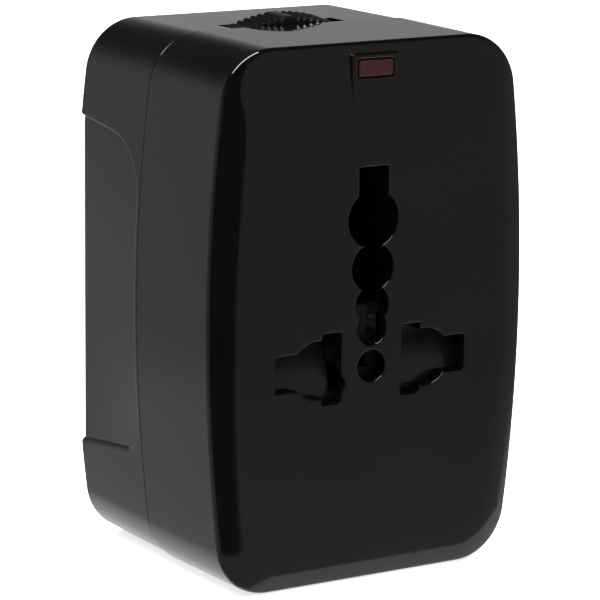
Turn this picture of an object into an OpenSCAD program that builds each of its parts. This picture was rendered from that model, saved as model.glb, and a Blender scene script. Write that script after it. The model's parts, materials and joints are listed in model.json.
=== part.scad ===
// Universal travel adapter: a socket half and a plug half that pull apart.
// +Z is up, the socket face looks towards -Y, and the origin is under the middle of the body.

/* [Body] */
// Width of the body at mid height
body_w = 50.4; // [49:0.2:54]
// Height of the body without the selector wheel
body_h = 74; // [73.5:0.5:78]
// Depth of the socket half, from the edge of its face to the seam
front_d = 18.6; // [18.4:0.2:21]
// Depth of the plug half, from the seam to the rear face
rear_d = 18.6; // [18.4:0.2:21]
// How far the middle of the face stands forward of its edge
face_crown = 1.1; // [0.8:0.1:1.4]
// Width of the rolled-off border of the face
face_roll = 5; // [4:0.5:6]
// Outward bow of the side walls
side_bow = 1.8; // [1.4:0.1:2.2]
// Radius of the body's corners
corner_r = 7.9; // [7:0.1:9]
// Radius of the rounded rear edge
rear_edge_r = 1; // [0.6:0.1:1.4]
// Thickness of the casing walls
wall = 2; // [1.8:0.1:2.2]

/* [Grip recess] */
// Height of the recess's upper edge, at its front
grip_top = 59.2; // [57:0.2:61]
// Height of the recess's lower edge, at its front
grip_bottom = 16.1; // [15:0.2:18]
// Distance from the seam to the recess
grip_back = 1.1; // [0.6:0.1:1.4]
// Depth of the recess at its front edge
grip_depth_front = 0.35; // [0.3:0.05:0.6]
// Depth of the recess at the rear face, at mid height
grip_depth_rear = 1.4; // [1.2:0.1:1.7]
// Corner radius at the upper front of the recess
grip_top_r = 7.5; // [6:0.5:9]
// Corner radius at the lower front of the recess
grip_bottom_r = 4.2; // [3:0.1:5]
// Rise of the upper edge on its way to the rear
grip_flare_top = 2.1; // [1:0.1:2.4]
// Fall of the lower edge on its way to the rear
grip_flare_bottom = 1.2; // [0.8:0.1:2]

/* [Socket face] */
// Height of the live and neutral openings
socket_z = 30.3; // [30:0.1:31]
// Inner end of the rectangular openings
uk_slot_in = 8; // [7.6:0.1:8.4]
// Outer end of the rectangular openings
uk_slot_out = 15.15; // [14.9:0.05:15.4]
// Height of the rectangular openings
uk_slot_h = 5.05; // [4.6:0.05:5.4]
// Distance of the upright slots from the middle
us_slot_x = 6.3; // [6.1:0.1:6.5]
// Width of the upright slots
us_slot_w = 3.1; // [2.8:0.1:3.3]
// Height of the upright slots
us_slot_h = 9.75; // [9:0.05:10.2]
// Distance of the round shoulders from the middle
eu_hole_x = 8.6; // [8.4:0.1:9]
// Radius of the round shoulders
eu_hole_r = 4; // [3.8:0.1:4.2]
// Radius of the single hole below the middle column
lower_hole_r = 2.2; // [2:0.1:2.3]
// Width of the slot at the top of the middle column
earth_slot_w = 4.7; // [4.5:0.1:5]
// Height of the slot's top above the live and neutral openings
earth_slot_top = 26.9; // [26.4:0.1:27.4]

/* [Indicator] */
// Width of the indicator window
lens_w = 5.3; // [4.6:0.1:6]
// Height of the indicator window
lens_h = 2.4; // [2:0.1:2.8]
// Distance from the top of the body to the middle of the window
lens_drop = 3.5; // [3.4:0.1:3.8]
// Half width of the flat pad around the window
pad_half_w = 3.5; // [3.3:0.1:4]
// Distance from the top of the body to the place where the face begins to slope back
brow_h = 9.5; // [8:0.1:11]
// Depth of the slope at the top of the body
brow_depth = 1; // [0.8:0.05:1.1]

/* [Selector wheel] */
// Outer radius of the wheel
wheel_r = 20.5; // [19.5:0.1:20.7]
// Thickness of the wheel
wheel_t = 4; // [3.6:0.1:4.2]
// How far the wheel stands above the top of the body
wheel_rise = 1.4; // [1:0.1:1.6]
// Sideways place of the wheel's axle
wheel_x = -1; // [-1.2:0.1:0]
// Number of tooth groups round the wheel
tooth_groups = 16; // [14:1:18]
// Teeth in each group
group_teeth = 5; // [4:1:6]
// Spacing of the teeth within a group
tooth_pitch = 1.12; // [1:0.02:1.2]
// Depth of the teeth
tooth_depth = 0.45; // [0.3:0.05:0.6]
// Pitch radius of the pinion behind the wheel
pinion_r = 5; // [4.5:0.1:5.4]

/* [Plug pins] */
// Spacing of the two rectangular pins
uk_pitch = 22.2; // [22:0.1:22.4]
// Height of the earth pin above the rectangular pins
uk_earth_rise = 22.2; // [22:0.1:22.4]
// Width of a rectangular pin
uk_pin_w = 6.35; // [6.2:0.05:6.5]
// Thickness of a rectangular pin
uk_pin_t = 4; // [3.9:0.1:4.1]
// Length of a rectangular pin outside the rear face
uk_pin_len = 17.7; // [17.2:0.1:18.2]
// Width of the earth pin
earth_w = 4; // [3.9:0.1:4.1]
// Depth of the earth pin
earth_t = 7.9; // [7.8:0.1:8]
// Length of the earth pin outside the rear face
earth_len = 22.7; // [22.2:0.1:23.2]
// Spacing of the round pins
eu_pitch = 19; // [18.6:0.1:19.2]
// Diameter of the round pins
eu_d = 4.8; // [4:0.1:5]
// Length of the round pins outside the rear face
eu_len = 19; // [18.4:0.1:19.6]
// Spacing of the flat blades
us_pitch = 12.7; // [12.6:0.1:13]
// Width of a flat blade
us_w = 6.35; // [6.2:0.05:6.5]
// Thickness of a flat blade
us_t = 1.5; // [1.4:0.1:1.6]
// Length of a flat blade outside the socket half
us_len = 15.9; // [15:0.1:16]
// Radius of the hinge axles
axle_r = 1.2; // [1:0.1:1.3]

/* [Fits] */
// Gap between the halves at the seam
seam_gap = 0.1; // [0.05:0.05:0.2]
// Gap between a loose cover and its casing
fit = 0.15; // [0.1:0.05:0.2]
// Radial clearance of a running fit
run = 0.05; // [0.02:0.01:0.08]
// Gap round a folding pin or a sliding piece
swing = 0.5; // [0.4:0.05:0.6]
// Gap beside a part that slides or turns flat
slip = 0.3; // [0.2:0.05:0.35]
// Radius of the screw shanks
screw_r = 1.1; // [1:0.05:1.2]
// Thickness of the brass strip
strip_t = 0.6; // [0.5:0.05:0.7]

/* [Hidden] */
$fn = 48;
casing_black = "#1f1f1d";
inner_black = "#2b2b29";
brass = "#c9a54c";
steel = "#b4b6b8";

// Depth stations, from the face to the rear
total_d = face_crown + front_d + rear_d;
y_face = -total_d / 2;
y_edge = y_face + face_crown;
y_seam = y_edge + front_d;
y_front_end = y_seam - seam_gap / 2;
y_rear_start = y_seam + seam_gap / 2;
y_rear = total_d / 2;
y_face_in = y_face + wall;
y_rear_in = y_rear - wall;

// Outline of the body: a core with bowed sides, rounded by the corner radius
core_w = body_w / 2 - corner_r;
core_h = body_h / 2 - corner_r;
side_r = (core_h * core_h + side_bow * side_bow) / (2 * side_bow);
side_angle = asin(core_h / side_r);
side_steps = 10;
corner_steps = 9;
function right_edge(r) = concat(
    [for (i = [0 : corner_steps - 1])
        let (a = -90 + (90 - side_angle) * i / corner_steps)
        [core_w - side_bow + r * cos(a), body_h / 2 - core_h + r * sin(a)]],
    [for (i = [0 : side_steps])
        let (a = side_angle * (2 * i / side_steps - 1))
        [core_w - side_r + (side_r + r) * cos(a), body_h / 2 + (side_r + r) * sin(a)]],
    [for (i = [1 : corner_steps])
        let (a = side_angle + (90 - side_angle) * i / corner_steps)
        [core_w - side_bow + r * cos(a), body_h / 2 + core_h + r * sin(a)]]);
function outline(inset) =
    let (right = right_edge(corner_r - inset), last = len(right) - 1)
    concat(right, [for (i = [last : -1 : 0]) [-right[i][0], right[i][1]]]);
// How far a post is sunk into its wall
sink = 0.5;

// Half width left inside the plug half between the grip recesses
grip_wall = 1.3;
rear_half_w = body_w / 2 - grip_depth_rear - grip_wall;

// Screws
post_r = 2.6;
screw_head_r = 2.1;
screw_head_t = 0.9;
front_screw_len = 8;
frame_screw_len = 6;
screw_tip_gap = 3;
corner_inset = 6.5;
side_inset = 5.6;
rear_post_rise = 25;
frame_post_drop = 14;
front_posts = [[body_w / 2 - corner_inset, wall + corner_inset],
    [body_w / 2 - corner_inset, body_h - wall - corner_inset]];
rear_posts = [[body_w / 2 - corner_inset, wall + corner_inset],
    [body_w / 2 - side_inset, wall + rear_post_rise]];
frame_post = [body_w / 2 - side_inset, body_h - wall - frame_post_drop];
casing_posts = concat(rear_posts, [frame_post]);

// Back plate of the socket half, blades and turrets
plate_t = 2.1;
y_plate = y_front_end - plate_t;
rotor_r = 4.4;
flange_r = 5;
flange_t = 1.2;
us_z = wall + fit + rotor_r + 1.05;
y_flange = y_plate - fit - flange_t;
root_r = 1.5;
root_len = 2;
strap_t = 0.8;
strap_w = 4;
y_strap = y_flange - slip - strap_t;

// Shutter, contact block and contacts of the socket half
shutter_t = 2.95;
shutter_lip = 1;
shutter_half_w = 16.4;
shutter_in = 5.3;
shutter_travel = 5.5;
y_shutter = y_face_in + slip;
y_block = y_shutter + shutter_t + slip;
y_block_end = y_strap - strip_t - slip;
block_half_w = 17.4;
block_z = [socket_z - 8.3, socket_z + 29.3];
shutter_z = [socket_z - 7.8, socket_z - 3.7, socket_z + 6.7];
rail = [shutter_half_w + slip, shutter_half_w + slip + 1.4];
rail_z = [shutter_z[0] - shutter_travel - 1, block_z[1] - 1];
chamber_x = [4.2, 16.2];
chamber_z = [socket_z - 5.3, socket_z + 5.7];
column_half_w = 4.3;
column_z = [socket_z + 7.2, socket_z + 28.1];
column_low = [2.6, socket_z - 4.3];
contact_inset = 1.6;
contact_edge = 0.2;
tab_w = 2;
tab_rise = 1;
fork_rise = 15.7;
fork_h = 10;
tongue_half_w = 1.5;
spring_r = 2.4;
spring_z = [shutter_z[0] - shutter_travel - swing - 4.2, shutter_z[0] - shutter_travel - swing];
ledge_t = 1.5;
stop_gap = 1;
stop_h = 1.2;
ledge_half_w = 6;
earth_holes = [[19.8, 3.95], [13.2, 3.28], [8.15, 2.65], [4.95, 2.4]];
key_notch = [[4.9, -0.5], [4, -2.2], [4.9, -4.3]];

// Lamp circuit of the socket half
lens_z = body_h - lens_drop;
lens_ear = 1;
lens_ear_t = 0.8;
pad_drop = 0.15;
pad_rise = 1;
board_half_w = 13;
board_h = 10.5;
board_drop = 2.5;
board = [[-board_half_w, body_h - board_drop - board_h], [board_half_w, body_h - board_drop]];
board_t = 1.6;
board_gap = 5.8;
y_board = y_face_in + board_gap;
board_post_in = 2.5;
board_post_rise = 3;
board_post = [board_half_w - board_post_in, board[0][1] + board_post_rise];
board_post_r = 1.6;
lamp_r = 1.6;
lamp_len = 9;
resistor_r = 1.2;
resistor_len = 7;
varistor_r = 4.2;
varistor_t = 3.2;
fuse_r = 2.4;
fuse_cap_r = 2.6;
fuse_len = 14;
fuse_cap_len = 3;
wire_r = 0.6;
wire_x = block_half_w + wire_r + fit;
wire_z = board[0][1] + 0.8;
y_wire = y_board + board_t / 2;

// Wheel, pocket and the works behind it
y_wheel = y_rear_start + fit;
wheel_z = body_h + wheel_rise - wheel_r;
pocket_r = wheel_r + swing;
pocket_wall = 1.2;
y_pocket = y_wheel + wheel_t + slip;
pocket_floor_t = 1.4;
cover_t = 1.6;
hub_r = 3.2;
hub_bore_r = 1.5;
press = 0.02;
y_works = y_pocket + pocket_floor_t + slip;
works_t = 1.6;
axle_head_r = 2.6;
axle_head_t = 0.8;
pinion_teeth = 10;
slide_room = 7.5;
slide_len = 2 * (rear_half_w - slide_room);
rack_pitch = 2 * PI * pinion_r / pinion_teeth;
// The rack has an even number of teeth, so that a gap stands under the pinion's lowest tooth
rack_teeth = 2 * floor(slide_len / rack_pitch / 2);
gear_addendum = 0.6;
gear_dedendum = 0.9;
slide_h = 4;
slide_contact_t = 0.4;
bridge_len = 7;
bridge_edge = 0.5;
y_bus = y_works + works_t + slide_contact_t + fit;
y_frame = y_bus + strip_t;
frame_t = 1.4;
guide_h = 1.6;
guide_half_w = 10;

// Folding pins
pin_sink = 0.1;
hinge_y = y_rear - earth_t / 2 - pin_sink;
hinge_depth = y_rear - hinge_y;
well_r = 3.8;
well_wall = 1;
well_end = y_rear_in - fit;
uk_reach = hinge_depth + uk_pin_len;
earth_reach = hinge_depth + earth_len;
eu_reach = hinge_depth + eu_len;
well_gap = 0.4;
uk_z = us_z + well_r + well_wall + well_gap + uk_reach;
earth_z = uk_z + uk_earth_rise;
eye_r = 3;
eu_bar_r = 3;
eu_bar_half = eu_pitch / 2 + eu_bar_r;
eu_z = earth_z + earth_t / 2 + 3 * swing + eu_bar_r;
eu_collar_r = 3;
ear_t = 1.6;
ear_half_h = 2.6;
y_ear_end = y_rear_in - fit;
nail = 2;
tip_chamfer = 1;
bus_x = 12.8;
bus_w = 3;
leaf_w = 2;

// Shared building shapes
module box(low, high) {
    translate(low) cube(high - low);
}

module along_y(y0, y1) {
    translate([0, y1, 0]) rotate([90, 0, 0]) linear_extrude(y1 - y0) children();
}

module along_x(x0, x1) {
    translate([x0, 0, 0]) rotate([90, 0, 90]) linear_extrude(x1 - x0) children();
}

module rod_y(x, z, r, y0, y1) {
    translate([x, y1, z]) rotate([90, 0, 0]) cylinder(r = r, h = y1 - y0);
}

module rod_x(y, z, r, x0, x1) {
    translate([x0, y, z]) rotate([0, 90, 0]) cylinder(r = r, h = x1 - x0);
}

module rod_z(x, y, r, z0, z1) {
    translate([x, y, z0]) cylinder(r = r, h = z1 - z0);
}

module both_sides() {
    for (m = [0, 1]) mirror([m, 0, 0]) children();
}

module outline_prism(inset, y0, y1) {
    along_y(y0, y1) polygon(outline(inset));
}

// The inside of the plug half, narrowed between the grip recesses
module rear_inside(inset, y0, y1) {
    intersection() {
        outline_prism(wall + inset, y0, y1);
        box([inset - rear_half_w, y0 - 1, -1], [rear_half_w - inset, y1 + 1, body_h + 1]);
    }
}

// One side's group of live or neutral openings, on the right
module side_opening() {
    translate([0, socket_z]) {
        translate([uk_slot_in - 1, -uk_slot_h / 2]) square([uk_slot_out - uk_slot_in + 1, uk_slot_h]);
        translate([us_slot_x - us_slot_w / 2, -us_slot_h / 2]) square([us_slot_w, us_slot_h]);
        intersection() {
            translate([eu_hole_x, 0]) circle(eu_hole_r);
            translate([us_slot_x, -eu_hole_r]) square([2 * eu_hole_r, 2 * eu_hole_r]);
        }
        polygon(key_notch);
    }
}

// Every opening of the face, as one flat shape
module face_openings() {
    side_opening();
    mirror([1, 0]) side_opening();
    translate([0, socket_z - 0.3]) circle(lower_hole_r);
    for (h = earth_holes) translate([0, socket_z + h[0]]) circle(h[1]);
    translate([-earth_slot_w / 2, socket_z + earth_holes[0][0]])
        square([earth_slot_w, earth_slot_top - earth_holes[0][0]]);
}

module screw(x, z, y_head, length) {
    rod_y(x, z, screw_head_r, y_head - screw_head_t, y_head);
    rod_y(x, z, screw_r, y_head, y_head + length);
}

// Socket half: moulded shell with the crowned face, screw posts and board posts. The face slopes back
// near the top, and a flat pad for the lamp's window stands out of the slope
module front_casing() {
    color(casing_black) difference() {
        union() {
            difference() {
                hull() {
                    outline_prism(0, y_edge, y_front_end);
                    outline_prism(0.12 * face_roll, y_edge - 0.4 * face_crown, y_front_end);
                    outline_prism(0.45 * face_roll, y_edge - 0.8 * face_crown, y_front_end);
                    outline_prism(face_roll, y_face, y_front_end);
                }
                outline_prism(wall, y_face_in, y_seam + 1);
                along_x(-body_w, body_w) polygon([[y_face, body_h - brow_h], [y_face - 1, body_h - brow_h],
                    [y_face - 1, body_h + 1], [y_face + brow_depth * (1 + 1 / brow_h), body_h + 1]]);
            }
            box([-pad_half_w, y_face + pad_drop, body_h - brow_h],
                [pad_half_w, y_face_in, lens_z + lens_h / 2 + pad_rise]);
            both_sides() {
                for (p = front_posts) rod_y(p[0], p[1], post_r, y_face_in - sink, y_plate);
                rod_y(board_post[0], board_post[1], board_post_r, y_face_in - sink, y_board);
            }
        }
        along_y(y_face - 1, y_face_in + 1) face_openings();
        box([-lens_w / 2 - run, y_face - 1, lens_z - lens_h / 2 - run],
            [lens_w / 2 + run, y_face_in + 1, lens_z + lens_h / 2 + run]);
        both_sides() for (p = front_posts)
            rod_y(p[0], p[1], screw_r + run, y_face_in + wall, y_seam);
    }
}

// Dark red window, pushed in from behind and held by its side ears
module indicator_lens() {
    color("#47292b") union() {
        box([-lens_w / 2, y_face, lens_z - lens_h / 2],
            [lens_w / 2, y_face_in + lens_ear_t, lens_z + lens_h / 2]);
        box([-lens_w / 2 - lens_ear, y_face_in, lens_z - lens_h / 2],
            [lens_w / 2 + lens_ear, y_face_in + lens_ear_t, lens_z + lens_h / 2]);
    }
}

// Moulded block with chambers for the contacts, rails for the shutter and a ledge for its spring
module socket_block() {
    color(inner_black) difference() {
        union() {
            box([-block_half_w, y_block, block_z[0]], [block_half_w, y_block_end, block_z[1]]);
            both_sides() {
                box([rail[0], y_face_in, rail_z[0]], [rail[1], y_block + wall, rail_z[1]]);
                box([column_half_w + stop_gap, y_face_in, shutter_z[2] + slip],
                    [rail[0] + 0.1, y_block, shutter_z[2] + slip + stop_h]);
                box([ledge_half_w, y_block, rail_z[0]], [rail[1], y_block + wall, block_z[0] + 1]);
            }
            box([-ledge_half_w - 0.1, y_block, spring_z[0] - ledge_t],
                [ledge_half_w + 0.1, y_block + wall, block_z[0] + 1]);
            box([-ledge_half_w, y_face_in, spring_z[0] - ledge_t],
                [ledge_half_w, y_block + 0.1, spring_z[0]]);
        }
        both_sides() box([chamber_x[0], y_block - 1, chamber_z[0]],
            [chamber_x[1], y_block_end + 1, chamber_z[1]]);
        box([-column_half_w, y_block - 1, column_z[0]], [column_half_w, y_block_end + 1, column_z[1]]);
        box([-column_low[0], y_block - 1, column_low[1]],
            [column_low[0], y_block_end + 1, column_z[0] + 1]);
        both_sides() rod_x(y_wire, socket_z, wire_r + fit, chamber_x[1] - 1, rail[1] + 1);
    }
}

// Two ramps on one bar: a plug pushes on the ramps and the shutter moves down
module safety_shutter() {
    y_back = y_shutter + shutter_t;
    color(inner_black) union() {
        box([-shutter_half_w, y_shutter, shutter_z[0]], [shutter_half_w, y_back, shutter_z[1]]);
        both_sides() along_x(shutter_in, shutter_half_w)
            polygon([[y_shutter, shutter_z[1] - 0.1], [y_back, shutter_z[1] - 0.1],
                [y_back, shutter_z[2]], [y_back - shutter_lip, shutter_z[2]], [y_shutter, shutter_z[1]]]);
    }
}

// Return spring under the shutter, at its compressed length
module shutter_spring() {
    y_mid = y_shutter + shutter_t / 2;
    color(steel) difference() {
        rod_z(0, y_mid, spring_r / 2 + 0.2, spring_z[0], spring_z[1]);
        rod_z(0, y_mid, spring_r / 2 - 0.4, spring_z[0] - 1, spring_z[1] + 1);
    }
}

// Brass clip for the right side: two leaves, an outer web and a tab down to the strap
module side_contact() {
    leaf_gap = uk_slot_h / 2 + contact_edge;
    y0 = y_block + contact_inset;
    y1 = y_strap;
    x0 = uk_slot_in + contact_edge;
    x1 = chamber_x[1];
    color(brass) union() {
        for (s = [-1, 1]) box([x0, y0, socket_z + s * (leaf_gap + strip_t / 2) - strip_t / 2],
            [x1, y1, socket_z + s * (leaf_gap + strip_t / 2) + strip_t / 2]);
        box([x1 - strip_t, y0, socket_z - leaf_gap - strip_t / 2],
            [x1, y1, socket_z + leaf_gap + strip_t / 2]);
        box([x0, y1 - strip_t, block_z[0] + tab_rise],
            [x0 + tab_w, y1, socket_z - leaf_gap - strip_t / 2]);
    }
}

module line_contact() {
    side_contact();
}

module neutral_contact() {
    mirror([1, 0, 0]) side_contact();
}

// Brass fork for the earth pin, with a tongue down the lower holes
module earth_contact() {
    y0 = y_block + contact_inset;
    y1 = y_block_end + strip_t;
    low = socket_z + fork_rise;
    color(brass) union() {
        both_sides() box([column_half_w - strip_t, y0, low], [column_half_w, y1, low + fork_h]);
        box([-column_half_w, y_block_end, low], [column_half_w, y1, low + fork_h]);
        box([-tongue_half_w, y_block_end, socket_z], [tongue_half_w, y1, low + 0.1]);
    }
}

// Lamp and surge board on its two posts
module circuit_board() {
    color("#4a6b3a")
        box([board[0][0], y_board, board[0][1]], [board[1][0], y_board + board_t, board[1][1]]);
}

module indicator_lamp() {
    color("#d98a5a") rod_x(y_board - lamp_r, lens_z - 0.7, lamp_r, -lamp_len / 2, lamp_len / 2);
}

module lamp_resistor() {
    color("#c8b48a")
        rod_x(y_board - resistor_r, board_post[1] + 1, resistor_r, -resistor_len / 2, resistor_len / 2);
}

module varistor() {
    y0 = y_board + board_t;
    color("#2f5fa8") rod_y(board[0][0] + varistor_r + 1.5, board[1][1] - varistor_r - 0.1, varistor_r,
        y0, y0 + varistor_t);
}

// Tube fuse with two end caps, lying against the back of the board
module fuse() {
    y_mid = y_board + board_t + fuse_cap_r;
    x0 = board[1][0] - fuse_len;
    z = board[0][1] + fuse_cap_r + 0.5;
    color("#d8d8d0") union() {
        rod_x(y_mid, z, fuse_r, x0, x0 + fuse_len);
        rod_x(y_mid, z, fuse_cap_r, x0, x0 + fuse_cap_len);
        rod_x(y_mid, z, fuse_cap_r, x0 + fuse_len - fuse_cap_len, x0 + fuse_len);
    }
}

// Lead from the board's right edge, down beside the block and in to the clip
module side_wire() {
    color("#8a2f2a") union() {
        rod_x(y_wire, wire_z, wire_r, board[1][0], wire_x);
        translate([wire_x, y_wire, wire_z]) sphere(wire_r);
        rod_z(wire_x, y_wire, wire_r, socket_z, wire_z);
        translate([wire_x, y_wire, socket_z]) sphere(wire_r);
        rod_x(y_wire, socket_z, wire_r, chamber_x[1], wire_x);
    }
}

module line_wire() {
    side_wire();
}

module neutral_wire() {
    mirror([1, 0, 0]) side_wire();
}

// Brass strap from the right clip's tab down to a ring round the blade's root
module side_strap() {
    x = us_pitch / 2;
    y1 = y_strap + strap_t;
    top = block_z[0] + 4;
    color(brass) difference() {
        union() {
            rod_y(x, us_z, root_r + 2.1, y_strap, y1);
            box([x - strap_w / 2, y_strap, us_z], [x + strap_w / 2, y1, top]);
            box([x, y_strap, block_z[0] + tab_rise], [uk_slot_in + contact_edge + tab_w, y1, top]);
        }
        rod_y(x, us_z, root_r + run, y_strap - 1, y1 + 1);
    }
}

module line_strap() {
    side_strap();
}

module neutral_strap() {
    mirror([1, 0, 0]) side_strap();
}

// Rear wall of the socket half, with the two turret bores
module back_plate() {
    color(inner_black) difference() {
        outline_prism(wall + fit, y_plate, y_front_end);
        both_sides() {
            rod_y(us_pitch / 2, us_z, rotor_r + run, y_plate - 1, y_front_end + 1);
            for (p = front_posts) {
                rod_y(p[0], p[1], screw_r + run, y_plate - 1, y_front_end + 1);
                rod_y(p[0], p[1], screw_head_r + run, y_front_end - screw_head_t - fit, y_front_end + 1);
            }
        }
    }
}

// Right turret: a disc in the back plate with a flange inside, slotted for its blade
module rotor() {
    x = us_pitch / 2;
    color(inner_black) difference() {
        union() {
            rod_y(x, us_z, rotor_r, y_flange + flange_t / 2, y_front_end);
            rod_y(x, us_z, flange_r, y_flange, y_flange + flange_t);
        }
        box([x - us_t / 2, y_flange - 1, us_z - us_w / 2], [x + us_t / 2, y_front_end + 1, us_z + us_w / 2]);
    }
}

module left_rotor() {
    mirror([1, 0, 0]) rotor();
}

module right_rotor() {
    rotor();
}

// Right flat blade with a round root inside the socket half
module blade() {
    x = us_pitch / 2;
    tip = y_front_end + us_len;
    heel = y_flange - slip / 2;
    color(brass) union() {
        along_x(x - us_t / 2, x + us_t / 2)
            polygon([[heel, us_z - us_w / 2], [tip - tip_chamfer, us_z - us_w / 2],
                [tip, us_z - us_w / 2 + tip_chamfer], [tip, us_z + us_w / 2 - tip_chamfer],
                [tip - tip_chamfer, us_z + us_w / 2], [heel, us_z + us_w / 2]]);
        rod_y(x, us_z, root_r, y_flange - root_len, y_flange);
    }
}

module left_blade() {
    mirror([1, 0, 0]) blade();
}

module right_blade() {
    blade();
}

// Four screws that hold the back plate to the socket half
module front_screws() {
    color(steel) both_sides() for (p = front_posts) mirror([0, 1, 0])
        screw(p[0], p[1], screw_head_t + fit - y_front_end, front_screw_len);
}

// Plug half: moulded shell with slots for the folded pins and a grip recess on each side
module rear_casing() {
    boss_y = y_frame + frame_t;
    color(casing_black) difference() {
        union() {
            difference() {
                hull() {
                    outline_prism(0, y_rear_start, y_rear - rear_edge_r);
                    outline_prism(0.3 * rear_edge_r, y_rear_start, y_rear - 0.3 * rear_edge_r);
                    outline_prism(rear_edge_r, y_rear_start, y_rear);
                }
                rear_inside(0, y_seam - 1, y_rear_in);
            }
            both_sides() for (p = casing_posts) rod_y(p[0], p[1], post_r, boss_y, y_rear_in + sink);
        }
        grip_cuts();
        both_sides() for (p = casing_posts) rod_y(p[0], p[1], screw_r + run, boss_y - 1, y_rear_in - 1);
        rod_y(wheel_x, wheel_z, pocket_r, y_seam - 1, y_pocket);
        along_y(y_rear_in - 1, y_rear + 1) pin_slots();
    }
}

// Shallow recess in both side walls of the plug half: its floor follows the bowed side at the
// front and is flat at the rear
module grip_cuts() {
    y0 = y_rear_start + grip_back;
    y1 = y_rear + 1;
    flat_x = body_w / 2 - grip_depth_rear;
    layer = 0.5;
    difference() {
        both_sides() along_x(flat_x - wall, body_w / 2 + 1) polygon(concat(
            [[y1, grip_top + grip_flare_top]],
            [for (a = [90 : 10 : 180])
                [y0 + grip_top_r * (1 + cos(a)), grip_top - grip_top_r * (1 - sin(a))]],
            [for (a = [180 : 15 : 270])
                [y0 + grip_bottom_r * (1 + cos(a)), grip_bottom + grip_bottom_r * (1 - sin(a - 180))]],
            [[y1, grip_bottom - grip_flare_bottom]]));
        hull() {
            outline_prism(grip_depth_front, y0 - layer, y0);
            intersection() {
                outline_prism(grip_depth_front, y1, y1 + layer);
                box([-flat_x, y1 - 1, -1], [flat_x, y1 + 1, body_h + 1]);
            }
        }
    }
}

// Openings of the rear face that the folded pins lie in
module pin_slots() {
    for (s = [-1, 1]) {
        translate([s * uk_pitch / 2 - uk_pin_w / 2 - swing, uk_z - uk_reach - nail])
            square([uk_pin_w + 2 * swing, uk_reach + nail + eye_r + swing]);
        translate([s * eu_pitch / 2 - eu_collar_r - swing, eu_z - eu_reach - nail])
            square([2 * eu_collar_r + 2 * swing, eu_reach + nail]);
    }
    translate([-earth_w / 2 - swing, earth_z - earth_reach - nail])
        square([earth_w + 2 * swing, earth_reach + nail + earth_t / 2 + swing]);
    translate([-eu_bar_half - swing, eu_z - eu_bar_r - swing])
        square([2 * eu_bar_half + 2 * swing, 2 * eu_bar_r + 2 * swing]);
}

// Frame that carries the hinge axles, the wheel's axle and the guide of the changeover slide
module pin_frame() {
    y_back = y_frame + frame_t;
    slide_low = wheel_z - pinion_r - gear_dedendum - slide_h;
    color(inner_black) difference() {
        union() {
            rear_inside(fit, y_frame, y_back);
            for (s = [-1, 1]) ear_pair(s * uk_pitch / 2, uk_pin_w / 2, uk_z);
            ear_pair(0, earth_w / 2, earth_z);
            ear_pair(0, eu_bar_half, eu_z);
            box([-guide_half_w, y_works, slide_low - slip - guide_h],
                [guide_half_w, y_frame + 0.1, slide_low - slip]);
        }
        both_sides() {
            rod_y(us_pitch / 2, us_z, well_r + well_wall + fit, y_frame - 1, y_back + 1);
            for (p = casing_posts) rod_y(p[0], p[1], screw_r + run, y_frame - 1, y_back + 1);
        }
        rod_y(wheel_x, wheel_z, hub_bore_r + press, y_frame - 1, y_back + 1);
        for (s = [-1, 1]) hinge_bore(s * uk_pitch / 2, uk_pin_w / 2, uk_z);
        hinge_bore(0, earth_w / 2, earth_z);
        hinge_bore(0, eu_bar_half, eu_z);
    }
}

// Two ears, one on each side of a folding pin
module ear_pair(x, half_w, z) {
    for (s = [-1, 1]) {
        near = x + s * (half_w + slip);
        far = x + s * (half_w + slip + ear_t);
        box([min(near, far), y_frame + frame_t - 0.1, z - ear_half_h],
            [max(near, far), y_ear_end, z + ear_half_h]);
    }
}

module hinge_bore(x, half_w, z) {
    reach = half_w + slip + ear_t + 1;
    rod_x(hinge_y, z, axle_r + press, x - reach, x + reach);
}

module hinge_axle(x, half_w, z) {
    reach = half_w + slip + ear_t;
    rod_x(hinge_y, z, axle_r, x - reach, x + reach);
}

// Two short screws in the upper part of the frame
module frame_screws() {
    color(steel) both_sides() screw(frame_post[0], frame_post[1], y_frame, frame_screw_len);
}

// Front wall of the plug half, with the wheel's pocket, screw posts and two round wells
module mid_cover() {
    y_floor = y_pocket + pocket_floor_t;
    color(inner_black) difference() {
        union() {
            rear_inside(fit, y_rear_start, y_rear_start + cover_t);
            intersection() {
                rear_inside(fit, y_rear_start, y_floor);
                rod_y(wheel_x, wheel_z, pocket_r + pocket_wall, y_rear_start, y_floor);
            }
            both_sides() {
                rod_y(us_pitch / 2, us_z, well_r + well_wall, y_rear_start + cover_t / 2, well_end);
                for (p = rear_posts) rod_y(p[0], p[1], post_r, y_rear_start + cover_t / 2, y_frame);
            }
        }
        rod_y(wheel_x, wheel_z, pocket_r, y_rear_start - 1, y_pocket);
        rod_y(wheel_x, wheel_z, hub_r + run, y_pocket - 1, y_floor + 1);
        both_sides() {
            rod_y(us_pitch / 2, us_z, well_r, y_rear_start - 1, well_end - 0.4);
            box([us_pitch / 2 - leaf_w / 2 - fit, y_bus - fit, us_z],
                [us_pitch / 2 + leaf_w / 2 + fit, y_bus + strip_t + fit, us_z + well_r + well_wall + 1]);
            for (p = rear_posts) {
                rod_y(p[0], p[1], screw_r + run, y_rear_start - 1, y_frame + 1);
                rod_y(p[0], p[1], screw_head_r + run, y_rear_start - 1, y_rear_start + screw_head_t + fit);
            }
        }
    }
}

// Four long screws through the cover and the frame
module rear_screws() {
    color(steel) both_sides() for (p = rear_posts)
        screw(p[0], p[1], y_rear_start + screw_head_t + fit, y_rear_in - screw_tip_gap - y_rear_start);
}

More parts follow.
